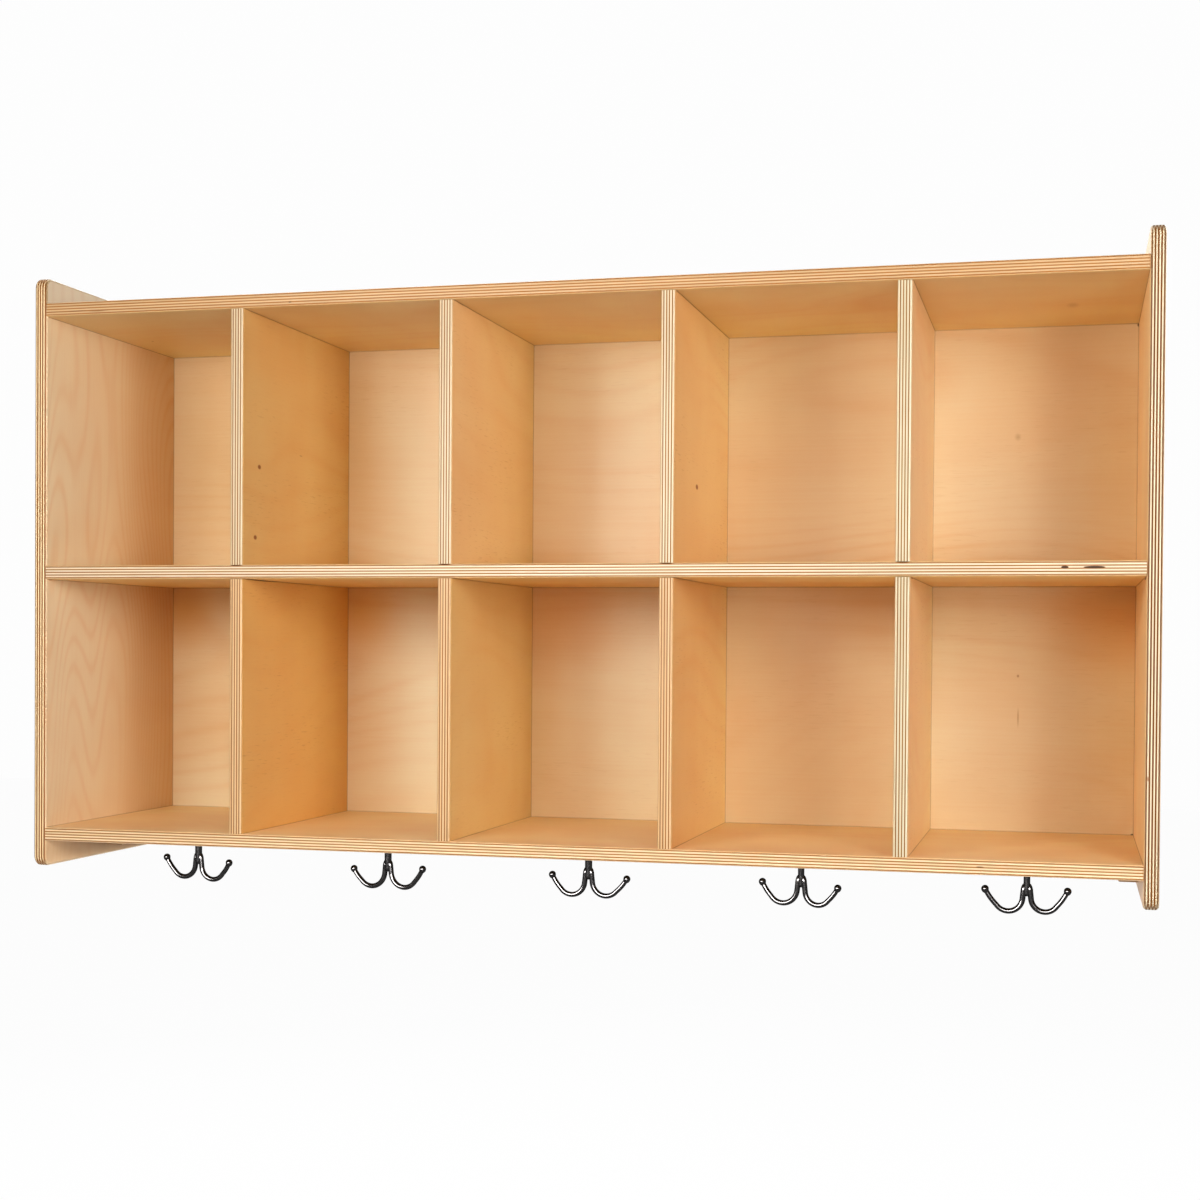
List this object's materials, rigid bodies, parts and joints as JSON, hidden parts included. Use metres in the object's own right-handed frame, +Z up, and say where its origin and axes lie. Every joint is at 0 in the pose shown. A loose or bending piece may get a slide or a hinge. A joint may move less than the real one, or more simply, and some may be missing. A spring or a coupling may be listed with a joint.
{
  "type": "wall-mounted cubby unit",
  "caption": "Plywood wall unit of open cubbies in rows between raised side panels with rounded corners, with double-prong coat hooks under the bottom shelf.",
  "frame": {"origin": "centre of the four wall-screw holes, on the wall plane", "axes": "+X to the right along the unit's length, +Y into the wall, +Z up"},
  "size_m": [1.219, 0.308, 0.6944],
  "materials": {
    "birch_panel": "clear satin lacquer on birch plywood, with the plies showing on the edges",
    "birch_back": "clear satin lacquer on thin birch plywood",
    "birch_block": "sanded birch plywood",
    "birch_plug": "sanded flush and lacquered",
    "beech_dowel": "plain",
    "black_nickel": "polished black nickel plating on steel",
    "zinc_screw": "zinc plated"
  },
  "bodies": {
    "root": {"left_side_panel": "birch_panel", "right_side_panel": "birch_panel", "top_shelf": "birch_panel", "middle_shelf": "birch_panel", "bottom_shelf": "birch_panel", "upper_divider_1": "birch_panel", "upper_divider_2": "birch_panel", "upper_divider_3": "birch_panel", "upper_divider_4": "birch_panel", "lower_divider_1": "birch_panel", "lower_divider_2": "birch_panel", "lower_divider_3": "birch_panel", "lower_divider_4": "birch_panel", "back_panel": "birch_back", "upper_hanging_rail": "birch_block", "lower_hanging_rail": "birch_block", "left_corner_cleat": "birch_block", "right_corner_cleat": "birch_block", "hook_1": "black_nickel", "hook_2": "black_nickel", "hook_3": "black_nickel", "hook_4": "black_nickel", "hook_5": "black_nickel", "hook_plates": "black_nickel", "side_plugs": "birch_plug", "divider_plugs": "birch_plug", "shelf_dowels": "beech_dowel", "divider_dowels": "beech_dowel", "side_screws": "zinc_screw", "divider_screws": "zinc_screw", "back_screws": "zinc_screw", "rail_screws": "zinc_screw", "cleat_screws": "zinc_screw", "hook_screws": "zinc_screw"}
  },
  "joints": []
}
